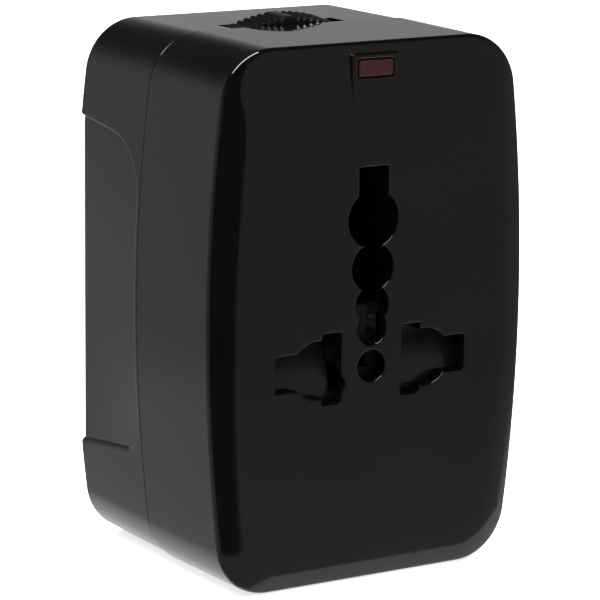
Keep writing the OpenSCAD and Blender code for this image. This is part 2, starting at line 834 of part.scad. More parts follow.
// Headed pin, pressed into the frame, that the wheel turns on
module wheel_axle() {
    color(steel) union() {
        rod_y(wheel_x, wheel_z, hub_bore_r, y_wheel + axle_head_t, y_frame + frame_t);
        rod_y(wheel_x, wheel_z, axle_head_r, y_wheel + fit, y_wheel + fit + axle_head_t);
    }
}

// Thumb wheel: groups of ribs with bare spaces between, and a hub through the pocket's floor
module selector_wheel() {
    step = 360 / tooth_groups;
    tooth_angle = tooth_pitch / wheel_r * 180 / PI;
    root = wheel_r - tooth_depth;
    rim = [for (g = [0 : tooth_groups - 1]) for (t = [0 : group_teeth - 1]) for (c = [0 : 3])
        let (a = g * step + (t + c / 4 - group_teeth / 2) * tooth_angle)
        (c == 1 || c == 2 ? wheel_r : root) * [sin(a), cos(a)]];
    color(casing_black) difference() {
        union() {
            along_y(y_wheel, y_wheel + wheel_t) translate([wheel_x, wheel_z]) polygon(rim);
            rod_y(wheel_x, wheel_z, hub_r, y_wheel + wheel_t / 2, y_works + works_t);
        }
        rod_y(wheel_x, wheel_z, hub_bore_r + run, y_wheel - 1, y_works + works_t + 1);
        rod_y(wheel_x, wheel_z, axle_head_r + slip, y_wheel - 1, y_wheel + fit + axle_head_t + slip);
    }
}

// Toothed ring on the wheel's hub
module selector_pinion() {
    tip_r = pinion_r + gear_addendum;
    root_radius = pinion_r - gear_dedendum;
    step = 360 / pinion_teeth;
    rim = [for (t = [0 : pinion_teeth - 1]) for (c = [[-0.3, 0], [-0.13, 1], [0.13, 1], [0.3, 0]])
        (c[1] == 1 ? tip_r : root_radius) * [sin((t + c[0]) * step), -cos((t + c[0]) * step)]];
    color("#d8d4c8") difference() {
        along_y(y_works, y_works + works_t) translate([wheel_x, wheel_z]) polygon(rim);
        rod_y(wheel_x, wheel_z, hub_r + press, y_works - 1, y_works + works_t + 1);
    }
}

// Rack that the pinion moves sideways to change which pins are live
module changeover_slide() {
    pitch_z = wheel_z - pinion_r;
    base_z = pitch_z - gear_dedendum;
    foot = 0.24 * rack_pitch;
    tip = 0.1 * rack_pitch;
    color("#d8d4c8") union() {
        box([wheel_x - slide_len / 2, y_works, base_z - slide_h],
            [wheel_x + slide_len / 2, y_works + works_t, base_z]);
        along_y(y_works, y_works + works_t) for (t = [0.5 - rack_teeth / 2 : rack_teeth / 2 - 0.5])
            translate([wheel_x + t * rack_pitch, pitch_z])
                polygon([[-foot, -gear_dedendum - 0.1], [foot, -gear_dedendum - 0.1],
                    [tip, gear_addendum], [-tip, gear_addendum]]);
    }
}

// Two brass bridges on the back of the slide, one at each end, which run over the bus bars
module slide_contact() {
    base_z = wheel_z - pinion_r - gear_dedendum;
    y0 = y_works + works_t;
    inner = slide_len / 2 - bridge_len;
    color(brass) translate([wheel_x, 0, 0]) both_sides()
        box([inner, y0, base_z - slide_h + bridge_edge],
            [slide_len / 2, y0 + slide_contact_t, base_z - bridge_edge]);
}

// Brass bar up the right of the frame, with a leaf into the blade's well
module side_bus() {
    x0 = bus_x - bus_w / 2;
    foot = us_z + well_r + well_wall + 0.2;
    y1 = y_bus + strip_t;
    color(brass) union() {
        box([x0, y_bus, foot], [x0 + bus_w, y1, eu_z]);
        box([us_pitch / 2 - leaf_w / 2, y_bus, foot], [x0 + 0.1, y1, foot + bus_w]);
        box([us_pitch / 2 - leaf_w / 2, y_bus, us_z + well_r - 0.2],
            [us_pitch / 2 + leaf_w / 2, y1, foot + 0.1]);
    }
}

module line_bus() {
    side_bus();
}

module neutral_bus() {
    mirror([1, 0, 0]) side_bus();
}

// Rectangular pin on the right, folded down, with its hinge eye at the top
module uk_pin() {
    x0 = uk_pitch / 2 - uk_pin_w / 2;
    tip = uk_z - uk_reach;
    half = uk_pin_t / 2;
    color(brass) difference() {
        union() {
            rod_x(hinge_y, uk_z, eye_r, x0, x0 + uk_pin_w);
            along_x(x0, x0 + uk_pin_w) polygon([[hinge_y - half, uk_z], [hinge_y + half, uk_z],
                [hinge_y + half, tip + tip_chamfer], [hinge_y + half - tip_chamfer, tip],
                [hinge_y - half + tip_chamfer, tip], [hinge_y - half, tip + tip_chamfer]]);
        }
        rod_x(hinge_y, uk_z, axle_r + run, x0 - 1, x0 + uk_pin_w + 1);
    }
}

module uk_line_pin() {
    uk_pin();
}

module uk_neutral_pin() {
    mirror([1, 0, 0]) uk_pin();
}

module uk_pin_axles() {
    color(steel) for (s = [-1, 1]) hinge_axle(s * uk_pitch / 2, uk_pin_w / 2, uk_z);
}

// Long earth pin in the middle, folded down
module uk_earth_pin() {
    tip = earth_z - earth_reach;
    half = earth_t / 2;
    color(inner_black) difference() {
        union() {
            rod_x(hinge_y, earth_z, half, -earth_w / 2, earth_w / 2);
            along_x(-earth_w / 2, earth_w / 2) polygon([[hinge_y - half, earth_z], [hinge_y + half, earth_z],
                [hinge_y + half, tip + tip_chamfer], [hinge_y + half - tip_chamfer, tip],
                [hinge_y - half + tip_chamfer, tip], [hinge_y - half, tip + tip_chamfer]]);
        }
        rod_x(hinge_y, earth_z, axle_r + run, -earth_w, earth_w);
    }
}

module earth_axle() {
    color(steel) hinge_axle(0, earth_w / 2, earth_z);
}

// Round bar with two collars that hold the round pins
module eu_carrier() {
    collar_end = eu_z - hinge_depth + 0.3;
    color(inner_black) difference() {
        union() {
            rod_x(hinge_y, eu_z, eu_bar_r, -eu_bar_half, eu_bar_half);
            both_sides() rod_z(eu_pitch / 2, hinge_y, eu_collar_r, collar_end, eu_z);
        }
        rod_x(hinge_y, eu_z, axle_r + run, -eu_bar_half - 1, eu_bar_half + 1);
        both_sides() rod_z(eu_pitch / 2, hinge_y, eu_d / 2 + press, collar_end - 1, eu_z - axle_r - 0.8);
    }
}

// Two round pins with rounded tips, folded down
module eu_pins() {
    tip = eu_z - eu_reach;
    tip_r = eu_d / 2;
    color(brass) both_sides() translate([eu_pitch / 2, hinge_y, 0]) union() {
        translate([0, 0, tip + tip_r]) cylinder(r = tip_r, h = eu_z - axle_r - 0.8 - tip - tip_r);
        translate([0, 0, tip + tip_r]) sphere(tip_r);
    }
}

module eu_axle() {
    color(steel) hinge_axle(0, eu_bar_half, eu_z);
}

front_casing();
indicator_lens();
socket_block();
safety_shutter();
shutter_spring();
line_contact();
neutral_contact();
earth_contact();
circuit_board();
indicator_lamp();
lamp_resistor();
varistor();
fuse();
line_wire();
neutral_wire();
line_strap();
neutral_strap();
back_plate();
left_rotor();
right_rotor();
left_blade();
right_blade();
front_screws();
rear_casing();
pin_frame();
frame_screws();
mid_cover();
rear_screws();
wheel_axle();
selector_wheel();
selector_pinion();
changeover_slide();
slide_contact();
line_bus();
neutral_bus();
uk_line_pin();
uk_neutral_pin();
uk_pin_axles();
uk_earth_pin();
earth_axle();
eu_carrier();
eu_pins();
eu_axle();
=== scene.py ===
import json
import math

import bmesh
import bpy
from mathutils import Matrix, Vector

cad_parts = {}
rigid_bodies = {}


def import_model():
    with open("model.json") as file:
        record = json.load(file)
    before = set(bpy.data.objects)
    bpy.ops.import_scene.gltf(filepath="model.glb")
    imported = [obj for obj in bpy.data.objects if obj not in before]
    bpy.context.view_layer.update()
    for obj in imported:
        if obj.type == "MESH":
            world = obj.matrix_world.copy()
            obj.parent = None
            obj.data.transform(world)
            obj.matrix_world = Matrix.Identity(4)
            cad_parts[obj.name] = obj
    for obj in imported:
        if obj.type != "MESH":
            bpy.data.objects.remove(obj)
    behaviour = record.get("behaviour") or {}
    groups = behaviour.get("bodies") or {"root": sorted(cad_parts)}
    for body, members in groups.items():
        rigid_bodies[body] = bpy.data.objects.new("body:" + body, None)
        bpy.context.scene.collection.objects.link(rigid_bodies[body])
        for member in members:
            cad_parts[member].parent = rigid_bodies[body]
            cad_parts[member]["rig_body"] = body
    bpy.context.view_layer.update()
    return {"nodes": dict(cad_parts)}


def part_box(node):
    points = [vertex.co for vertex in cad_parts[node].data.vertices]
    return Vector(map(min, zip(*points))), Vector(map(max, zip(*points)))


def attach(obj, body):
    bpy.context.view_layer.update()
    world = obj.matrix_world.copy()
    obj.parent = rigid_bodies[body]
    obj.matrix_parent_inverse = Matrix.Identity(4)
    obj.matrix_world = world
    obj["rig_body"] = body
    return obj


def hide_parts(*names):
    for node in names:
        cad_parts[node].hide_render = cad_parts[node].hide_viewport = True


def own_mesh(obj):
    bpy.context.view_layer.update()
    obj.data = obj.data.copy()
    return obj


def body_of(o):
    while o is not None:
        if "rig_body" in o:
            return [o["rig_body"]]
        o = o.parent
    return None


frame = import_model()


# Socket half's casing
# One black moulded shell with a high gloss: bowed sides, round corners, and a face that rolls off at its
# border and slopes back near the top, where a flat pad for the lamp's window stands out. The plug openings
# are plain cuts with fine broken edges. Posts inside take the screws, and a tongue runs along the seam.
half_width = 25.2
half_height = 37.0
corner_r = 7.9
side_bow = 1.8


def outline_face(mesh, y):
    """One face in the body's outline at depth y: each corner and each bowed side is a spun arc."""
    core_w = half_width - corner_r
    core_h = half_height - corner_r
    side_r = (core_h ** 2 + side_bow ** 2) / (2 * side_bow)
    lean = math.asin(core_h / side_r)
    point = mesh.verts.new((core_w - side_bow, y, 0))
    for centre_x, centre_z, turn, steps in (
        (core_w - side_bow, corner_r, math.pi / 2 - lean, 16),
        (core_w - side_r, half_height, 2 * lean, 28),
        (core_w - side_bow, 2 * half_height - corner_r, math.pi / 2 - lean, 16),
    ):
        arc = bmesh.ops.spin(mesh, geom=[point], cent=(centre_x, y, centre_z), axis=(0, -1, 0),
                             angle=turn, steps=steps)
        point = [g for g in arc["geom_last"] if isinstance(g, bmesh.types.BMVert)][0]
    bmesh.ops.mirror(mesh, geom=mesh.verts[:] + mesh.edges[:], axis="X", merge_dist=0.001)
    ends = [v for v in mesh.verts if len(v.link_edges) == 1]
    for level in (min, max):
        z = level(v.co.z for v in ends)
        mesh.edges.new([v for v in ends if abs(v.co.z - z) < 0.01])
    return bmesh.ops.contextual_create(mesh, geom=mesh.edges[:])["faces"][0]


def tighten(mesh, face, draft):
    """Draws a face's outline in towards its middle, for the moulding's draft."""
    middle = Matrix.Translation((0, 0, -half_height))
    bmesh.ops.scale(mesh, vec=(1 - draft / half_width, 1, 1 - draft / half_height), space=middle,
                    verts=face.verts[:])


def pull(mesh, face, step):
    """Extrudes one face by a step and gives the new end face. A face of a closed shape isn't left behind."""
    closed = all(len(e.link_faces) > 1 for e in face.edges)
    made = bmesh.ops.extrude_face_region(mesh, geom=[face])["geom"]
    bmesh.ops.translate(mesh, vec=step, verts=[g for g in made if isinstance(g, bmesh.types.BMVert)])
    if closed and face.is_valid:
        bmesh.ops.delete(mesh, geom=[face], context="FACES_ONLY")
    return [g for g in made if isinstance(g, bmesh.types.BMFace)][0]


def inset(mesh, face, width, rise=0.0):
    """Leaves a border of a width round a face, and may raise what is inside it."""
    bmesh.ops.inset_region(mesh, faces=[face], thickness=width, depth=rise, use_even_offset=True,
                           use_boundary=True)


def round_off(mesh, edges, radius, segments=3, held=True):
    """Rounds edges. Held keeps a round from running over its neighbour."""
    bmesh.ops.bevel(mesh, geom=edges, offset=radius, segments=segments, profile=0.5, affect="EDGES",
                    material=-1, clamp_overlap=held)


def edges_at(mesh, y):
    """The edges that lie at one depth."""
    return [e for e in mesh.edges if all(abs(v.co.y - y) < 0.001 for v in e.verts)]


def round_lip(mesh, y):
    """Rounds the outer edge of a half's rim at the seam."""
    lip = [e for e in edges_at(mesh, y) if e.calc_face_angle(0) > 1 and e.is_convex]
    round_off(mesh, lip, 0.22, 3)


def as_object(mesh, name):
    """Turns a bmesh in millimetres into an object in metres, with its place in its mesh."""
    bmesh.ops.remove_doubles(mesh, verts=mesh.verts, dist=0.0005)
    bmesh.ops.recalc_face_normals(mesh, faces=mesh.faces)
    bmesh.ops.scale(mesh, vec=(0.001, 0.001, 0.001), verts=mesh.verts)
    data = bpy.data.meshes.new(name)
    mesh.to_mesh(data)
    mesh.free()
    made = bpy.data.objects.new(name, data)
    bpy.context.scene.collection.objects.link(made)
    return made


def carve(piece, tool, operation="DIFFERENCE"):
    """Cuts a tool's shape out of a piece, or joins it on, and takes the tool away."""
    cutter = as_object(tool, "cutter")
    step = piece.modifiers.new("carve", "BOOLEAN")
    step.object = cutter
    step.operation = operation
    step.solver = "EXACT"
    bpy.context.view_layer.update()
    seen = piece.evaluated_get(bpy.context.evaluated_depsgraph_get())
    result = bpy.data.meshes.new_from_object(seen)
    result.name = piece.name
    piece.modifiers.clear()
    piece.data = result
    bpy.data.objects.remove(cutter)


def slab(low, high, corner=0.0, axis=1):
    """A block between two corners, whose edges along one axis may be rounded."""
    mesh = bmesh.new()
    bmesh.ops.create_cube(mesh, size=1)
    low, high = Vector(low), Vector(high)
    bmesh.ops.scale(mesh, vec=high - low, verts=mesh.verts)
    bmesh.ops.translate(mesh, vec=(low + high) / 2, verts=mesh.verts)
    if corner:
        along = [e for e in mesh.edges if abs((e.verts[0].co - e.verts[1].co)[axis]) > 1e-6]
        round_off(mesh, along, corner, 4)
    return mesh


def rod_y(x, z, radius, y0, y1, segments=48):
    """A round bar along the depth."""
    mesh = bmesh.new()
    bmesh.ops.create_cone(mesh, cap_ends=True, segments=segments, radius1=radius, radius2=radius,
                          depth=y1 - y0)
    bmesh.ops.rotate(mesh, matrix=Matrix.Rotation(math.pi / 2, 3, "X"), verts=mesh.verts)
    bmesh.ops.translate(mesh, vec=(x, (y0 + y1) / 2, z), verts=mesh.verts)
    return mesh


def soften_rims(piece, radius, wanted, segments=3):
    """Rounds the sharp edges of a piece that the test picks out, by the two ends in millimetres."""
    mesh = bmesh.new()
    mesh.from_mesh(piece.data)
    bmesh.ops.dissolve_degenerate(mesh, dist=3e-5, edges=mesh.edges)
    edges = [e for e in mesh.edges if e.calc_face_angle(0) > 0.5 and e.is_convex
             and all(wanted(*(v.co * 1000)) for v in e.verts)]
    round_off(mesh, edges, radius / 1000, segments, False)
    mesh.to_mesh(piece.data)
    mesh.free()


def shade(piece, angle=32):
    """Smooth shading with crisp folds, weighted so that flat faces stay flat in reflections."""
    mesh = bmesh.new()
    mesh.from_mesh(piece.data)
    for f in mesh.faces:
        f.smooth = True
    for e in mesh.edges:
        e.smooth = e.calc_face_angle(0) < math.radians(angle)
    mesh.to_mesh(piece.data)
    mesh.free()
    flat = piece.modifiers.new("flat faces", "WEIGHTED_NORMAL")
    flat.keep_sharp = True
    flat.weight = 60


def node_chain(name):
    """A new material, with its node tree, its shader and the place on the object that its noise follows."""
    material = bpy.data.materials.new(name)
    material.use_nodes = True
    tree = material.node_tree
    place = tree.nodes.new("ShaderNodeTexCoord").outputs["Object"]
    return material, tree, tree.nodes["Principled BSDF"], place


def noise(tree, place, scale, detail=3.0, stretch=(1, 1, 1)):
    """A noise over a place on the object, which may be stretched into streaks."""
    mapping = tree.nodes.new("ShaderNodeMapping")
    mapping.inputs["Scale"].default_value = stretch
    tree.links.new(place, mapping.inputs["Vector"])
    node = tree.nodes.new("ShaderNodeTexNoise")
    node.inputs["Scale"].default_value = scale
    node.inputs["Detail"].default_value = detail
    tree.links.new(mapping.outputs["Vector"], node.inputs["Vector"])
    return node.outputs["Fac"]


def vary(tree, source, low, high, socket):
    """Spreads a noise between two values on a shader's socket."""
    spread = tree.nodes.new("ShaderNodeMapRange")
    spread.inputs["From Min"].default_value = 0.3
    spread.inputs["From Max"].default_value = 0.7
    spread.inputs["To Min"].default_value = low
    spread.inputs["To Max"].default_value = high
    tree.links.new(source, spread.inputs["Value"])
    tree.links.new(spread.outputs["Result"], socket)


def tint(tree, source, dark, light, socket):
    """Spreads a noise between two colours on a shader's socket."""
    ramp = tree.nodes.new("ShaderNodeValToRGB")
    ramp.color_ramp.elements[0].position = 0.3
    ramp.color_ramp.elements[0].color = (*dark, 1)
    ramp.color_ramp.elements[1].position = 0.7
    ramp.color_ramp.elements[1].color = (*light, 1)
    tree.links.new(source, ramp.inputs["Fac"])
    tree.links.new(ramp.outputs["Color"], socket)


def relief(tree, source, depth, shader):
    """Raises a noise on the surface by a depth in metres."""
    bump = tree.nodes.new("ShaderNodeBump")
    bump.inputs["Strength"].default_value = 1.0
    bump.inputs["Distance"].default_value = depth
    tree.links.new(source, bump.inputs["Height"])
    tree.links.new(bump.outputs["Normal"], shader.inputs["Normal"])


gloss_black, tree, shader, place = node_chain("gloss_black")
tint(tree, noise(tree, place, 60), (0.0010, 0.0008, 0.0006), (0.0016, 0.0014, 0.0011),
     shader.inputs["Base Color"])
vary(tree, noise(tree, place, 140, 4), 0.04, 0.08, shader.inputs["Roughness"])
relief(tree, noise(tree, place, 90, 1), 0.0000016, shader)

seam_y = 0.5
face_edge_y = -18.05
face_y = -19.15
face_inner_y = -17.15
tongue_reach = 0.8
front = bmesh.new()
rim = outline_face(front, seam_y)
face = pull(front, rim, (0, face_edge_y - seam_y, 0))
tighten(front, face, 0.15)
bmesh.ops.recalc_face_normals(front, faces=front.faces)
border = 5.0
crown = face_edge_y - face_y
done, height = 0.0, 0.0
for reach in (0.5, 1.0, 1.6, 2.3, 3.0, 3.8, 4.5, border):
    rise = crown * (1 - (1 - reach / border) ** 2)
    inset(front, face, reach - done, rise - height)
    done, height = reach, rise
inset(front, face, 0.6)
inset(front, rim, 1.2)
tongue = pull(front, rim, (0, tongue_reach, 0))
inset(front, tongue, 0.8)
pull(front, tongue, (0, face_inner_y - seam_y - tongue_reach, 0))

brow_z = 63.8
brow_height = 9.9
brow_fall = 0.95
for step in range(9):
    flat = [f for f in front.faces if all(abs(v.co.y - face_y) < 0.001 for v in f.verts)]
    around = dict.fromkeys(g for f in flat for g in [f, *f.edges, *f.verts])
    bmesh.ops.bisect_plane(front, geom=list(around), plane_co=(0, 0, brow_z + 0.6 * step),
                           plane_no=(0, 0, 1))
for v in front.verts:
    if v.co.y < face_edge_y - 0.05 and v.co.z > brow_z:
        v.co.y = max(v.co.y, face_y + brow_fall * (v.co.z - brow_z) / brow_height)
round_off(front, edges_at(front, face_edge_y), 0.35, 4)
round_lip(front, seam_y)
socket_casing = as_object(front, "socket_casing")
wheel_x = -1.0
wheel_z = 54.9
wheel_pocket_r = 21.0
carve(socket_casing, rod_y(wheel_x, wheel_z, wheel_pocket_r, 0.55, 2.0, 160))

post_r = 2.6
screw_bore_r = 1.15
front_posts = ((18.7, 8.5), (18.7, 65.5))
plate_y = -1.6
board_y = -11.35
for side in (-1, 1):
    for x, z in front_posts:
        carve(socket_casing, rod_y(side * x, z, post_r, face_inner_y - 0.5, plate_y, 32), "UNION")
        carve(socket_casing, rod_y(side * x, z, screw_bore_r, -15.15, seam_y, 24))
    carve(socket_casing, rod_y(side * 10.5, 64.0, 1.6, face_inner_y - 0.5, board_y, 24), "UNION")

socket_z = 30.3
cut_front = -21
cut_back = -16
for side in (-1, 1):
    for low_x, high_x, half in ((7.0, 15.15, 2.525), (4.75, 7.85, 4.875)):
        xs = sorted((side * low_x, side * high_x))
        slot = slab((xs[0], cut_front, socket_z - half), (xs[1], cut_back, socket_z + half), 0.2)
        carve(socket_casing, slot)
    shoulder = rod_y(side * 8.6, socket_z, 4.0, cut_front, cut_back, 56)
    bmesh.ops.bisect_plane(shoulder, geom=shoulder.verts[:] + shoulder.edges[:] + shoulder.faces[:],
                           plane_co=(side * 6.3, 0, 0), plane_no=(-side, 0, 0), clear_outer=True)
    bmesh.ops.holes_fill(shoulder, edges=shoulder.edges)
    carve(socket_casing, shoulder)
    notch = bmesh.new()
    corners = [notch.verts.new((side * x, cut_front, socket_z + z))
               for x, z in ((5.0, -0.4), (4.0, -2.2), (5.0, -4.5))]
    pull(notch, notch.faces.new(corners), (0, cut_back - cut_front, 0))
    carve(socket_casing, notch)
for rise, radius in ((19.8, 3.95), (13.2, 3.28), (8.15, 2.65), (4.95, 2.4), (-0.3, 2.2)):
    carve(socket_casing, rod_y(0, socket_z + rise, radius, cut_front, cut_back, 64))
carve(socket_casing, slab((-2.35, cut_front, socket_z + 18), (2.35, cut_back, socket_z + 26.9), 0.3))
soften_rims(socket_casing, 0.2, lambda x, y, z: abs(y - face_y) < 0.01 and z < 60)

pad_y = -19.05
pad = slab((-3.9, pad_y, 63.9), (3.9, -17.6, 72.5))
pad_front = [v for v in pad.verts if v.co.y < pad_y + 0.15]
bmesh.ops.scale(pad, vec=(0.89, 1, 0.93), space=Matrix.Translation((0, 0, -68.6)), verts=pad_front)
round_off(pad, [e for e in pad.edges if any(v.co.y < pad_y + 0.15 for v in e.verts)], 0.14, 3)
carve(socket_casing, pad, "UNION")
window_half = 2.75
window_low = 69.25
window_high = 71.6
carve(socket_casing, slab((-window_half, cut_front, window_low), (window_half, cut_back, window_high), 0.3))
soften_rims(socket_casing, 0.3, lambda x, y, z: abs(y - pad_y) < 0.01 and abs(x) < 2.8 and z > 69)


def dress(piece, material, finish, body, *solids):
    """Gives a piece its material, and puts it on its body in place of the frame's solids."""
    piece.data.materials.clear()
    piece.data.materials.append(material)
    for solid in solids:
        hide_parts(solid)
    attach(piece, body)


shade(socket_casing)
dress(socket_casing, gloss_black, "casing", "socket_half", "front_casing")


# Indicator window
# A small moulded block of dark red clear plastic, pushed in from behind. It stands a little out of its
# pad, in a window with a broken edge, and two ears behind the wall hold it.
smoked_red, tree, shader, place = node_chain("smoked_red")
tint(tree, noise(tree, place, 500), (0.015, 0.003, 0.003), (0.021, 0.0045, 0.0045),
     shader.inputs["Base Color"])
vary(tree, noise(tree, place, 300), 0.06, 0.12, shader.inputs["Roughness"])
lens_gap = 0.1
lens_half = window_half - lens_gap
lens_low = window_low + lens_gap
lens_high = window_high - lens_gap
lens_back_y = -16.35
ear_reach = 1.0
lens = slab((-lens_half, -19.03, lens_low), (lens_half, lens_back_y, lens_high), 0.4)
lens_front = min(lens.faces, key=lambda f: f.calc_center_median().y)
inset(lens, lens_front, 0.34, 0.12)
window = as_object(lens, "indicator_window")
ears = slab((-lens_half - ear_reach, face_inner_y, 69.3), (lens_half + ear_reach, lens_back_y, 71.7))
carve(window, ears, "UNION")
shade(window)
dress(window, smoked_red, "lens", "socket_half", "indicator_lens")


# Socket block
# A satin black moulding behind the face, with a chamber for each brass clip, rails for the shutter and a
# ledge for its spring. Two more ledges and a rib show through the middle column's lower holes. The face and
# the back plate hold it between them. Its colour is darkened below the satin black's, as painted shade for
# the block deep behind the openings.
def softened(solid, edge, material, finish):
    """A copy of one of the frame's solids with its sharp edges broken, in that solid's place."""
    made = bmesh.new()
    made.from_mesh(frame["nodes"][solid].data)
    bmesh.ops.remove_doubles(made, verts=made.verts, dist=1e-6)
    bmesh.ops.dissolve_limit(made, angle_limit=math.radians(1), verts=made.verts, edges=made.edges)
    if edge:
        round_off(made, [e for e in made.edges if e.calc_face_angle(0) > 0.6], edge / 1000, 2)
    bmesh.ops.scale(made, vec=(1000, 1000, 1000), verts=made.verts)
    piece = as_object(made, solid + "_piece")
    shade(piece)
    dress(piece, material, finish, body_of(frame["nodes"][solid])[0], solid)
    return piece


satin_black, tree, shader, place = node_chain("satin_black")
tint(tree, noise(tree, place, 80), (0.0075, 0.0072, 0.0068), (0.0115, 0.0110, 0.0104),
     shader.inputs["Base Color"])
vary(tree, noise(tree, place, 200, 4), 0.30, 0.44, shader.inputs["Roughness"])
relief(tree, noise(tree, place, 2600, 2), 0.000004, shader)
# A darker copy of the satin black: painted shade for the block deep behind the face's openings.
painted_shade_block_black, tree, shader, place = node_chain("painted_shade_block_black")
tint(tree, noise(tree, place, 90), (0.0016, 0.0014, 0.0012), (0.0026, 0.0023, 0.0020),
     shader.inputs["Base Color"])
vary(tree, noise(tree, place, 220, 4), 0.42, 0.58, shader.inputs["Roughness"])
relief(tree, noise(tree, place, 2600, 2), 0.000004, shader)
shader.inputs["Specular IOR Level"].default_value = 0.3
block = softened("socket_block", 0.15, painted_shade_block_black, "inner")
upper_ledge = ((-3.2, -17.0, 31.6), (3.2, -13.4, 34.0))
rib = ((-1.3, -17.0, 33.8), (0.5, -13.0, 38.0))
lower_ledge = ((-3.2, -17.0, 27.2), (1.45, -13.4, 29.5))
for low, high in (upper_ledge, rib, lower_ledge):
    carve(block, slab(low, high, 0.2), "UNION")
shade(block)
dress(block, painted_shade_block_black, "inner", "socket_half", "socket_block")


# Safety shutter
# A glossy black moulding of one bar and two ramps, just behind the face. A plug's pins push on the ramps
# and it slides down against its spring.
shutter_black, tree, shader, place = node_chain("shutter_black")
tint(tree, noise(tree, place, 90), (0.0036, 0.0034, 0.0031), (0.0052, 0.0049, 0.0045),
     shader.inputs["Base Color"])
vary(tree, noise(tree, place, 160, 4), 0.14, 0.24, shader.inputs["Roughness"])
relief(tree, noise(tree, place, 120, 1), 0.000004, shader)
shutter_half = 16.4
shutter_front_y = -16.85
shutter_back_y = -13.9
bar = slab((-shutter_half, shutter_front_y, 22.5), (shutter_half, shutter_back_y, 26.6))
round_off(bar, bar.edges[:], 0.3, 3)
shutter = as_object(bar, "shutter")
ramp_x = 5.3
ramp_low = 25.6
ramp_top = 37.0
for side in (-1, 1):
    ramp = bmesh.new()
    curve = [(-16.8 + 0.1 * rise + 0.039 * rise ** 2, 27.2 + rise) for rise in (6.2, 5, 4, 3, 2, 1, 0)]
    corners = [ramp.verts.new((side * ramp_x, y, z)) for y, z in (
        (shutter_front_y, ramp_low), (shutter_back_y, ramp_low), (shutter_back_y, ramp_top),
        (-14.6, ramp_top), *curve)]
    pull(ramp, ramp.faces.new(corners), (side * (shutter_half - ramp_x), 0, 0))
    bmesh.ops.recalc_face_normals(ramp, faces=ramp.faces)
    round_off(ramp, [e for e in ramp.edges if e.calc_face_angle(0) > 0.6
                     and max(v.co.z for v in e.verts) > 26], 0.25, 3)
    carve(shutter, ramp, "UNION")
shade(shutter)
dress(shutter, shutter_black, "inner", "shutter", "safety_shutter")


# Shutter's spring
# A coil of steel wire between the block's ledge and the shutter's bar. On the real socket it shortens as a
# plug drives the shutter down, and pushes it up again; here it keeps its rest length on the socket half.
zinc_steel, tree, shader, place = node_chain("zinc_steel")
tint(tree, noise(tree, place, 400), (0.46, 0.47, 0.48), (0.64, 0.65, 0.66), shader.inputs["Base Color"])
vary(tree, noise(tree, place, 700, 4), 0.22, 0.40, shader.inputs["Roughness"])
relief(tree, noise(tree, place, 900, 2, (1, 1, 0.2)), 0.000003, shader)
shader.inputs["Metallic"].default_value = 1.0
wire_r = 0.28
coil_r = 1.1
turns = 7
steps_per_turn = 24
spring_low = 12.6
spring_high = 22.2
coil = bmesh.new()
wire = bmesh.ops.create_circle(coil, segments=10, radius=wire_r)["verts"]
bmesh.ops.rotate(coil, matrix=Matrix.Rotation(math.pi / 2, 3, "X"), verts=wire)
bmesh.ops.translate(coil, vec=(coil_r, 0, 0), verts=wire)
rise_per_step = (spring_high - spring_low) / (turns * steps_per_turn)
bmesh.ops.spin(coil, geom=coil.verts[:] + coil.edges[:], cent=(0, 0, 0), axis=(0, 0, 1),
               dvec=(0, 0, rise_per_step), angle=turns * 2 * math.pi, steps=turns * steps_per_turn)
bmesh.ops.holes_fill(coil, edges=[e for e in coil.edges if len(e.link_faces) == 1])
bmesh.ops.translate(coil, vec=(0, -15.375, spring_low), verts=coil.verts)
spring = as_object(coil, "shutter_coil")
shade(spring, 60)
dress(spring, zinc_steel, "steel", "socket_half", "shutter_spring")
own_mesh(spring)


# Brass contacts of the sockets
# Clips stamped and folded from brass strip, in the block's chambers: one behind each side opening, and a
# fork with a long tongue behind the middle column. The fork is coloured as darkened brass, painted shade for
# its place deep in the block, and only the tip of its finger keeps the plain brass colour.
brass, tree, shader, place = node_chain("rolled_brass")
tint(tree, noise(tree, place, 300), (0.50, 0.33, 0.10), (0.66, 0.46, 0.17), shader.inputs["Base Color"])
vary(tree, noise(tree, place, 500, 4), 0.22, 0.40, shader.inputs["Roughness"])
relief(tree, noise(tree, place, 800, 2, (1, 1, 0.08)), 0.000004, shader)
shader.inputs["Metallic"].default_value = 1.0
for solid in ("line_contact", "neutral_contact"):
    softened(solid, 0.1, brass, "brass")
# A darkened copy of the brass: painted shade for the earth fork deep in the block.
painted_shade_brass, tree, shader, place = node_chain("painted_shade_brass")
tint(tree, noise(tree, place, 350), (0.050, 0.040, 0.026), (0.085, 0.070, 0.046),
     shader.inputs["Base Color"])
vary(tree, noise(tree, place, 600, 4), 0.34, 0.52, shader.inputs["Roughness"])
relief(tree, noise(tree, place, 800, 2, (1, 1, 0.08)), 0.000004, shader)
shader.inputs["Metallic"].default_value = 1.0
fork = softened("earth_contact", 0.1, painted_shade_brass, "brass")
finger_low = Vector((1.55, -16.0, 35.75))
finger_high = Vector((2.3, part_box("earth_contact")[1][1] * 1000 - 0.1, 36.35))
tip_slope = 0.33
painted_shade_behind_y = -15.5
finger = slab(finger_low, finger_high)
for v in finger.verts:
    if v.co.y < finger_low.y + 0.1:
        v.co.y += tip_slope * (v.co.z - finger_low.z) + tip_slope * (finger_high.x - v.co.x)
carve(fork, finger, "UNION")
shade(fork)
dress(fork, painted_shade_brass, "brass", "socket_half", "earth_contact")
# Only the finger's tip at the front gets the plain brass; the rest of the fork keeps the painted shade.
fork.data.materials.append(brass)
for f in fork.data.polygons:
    f.material_index = 1 if f.center.y * 1000 < painted_shade_behind_y else 0


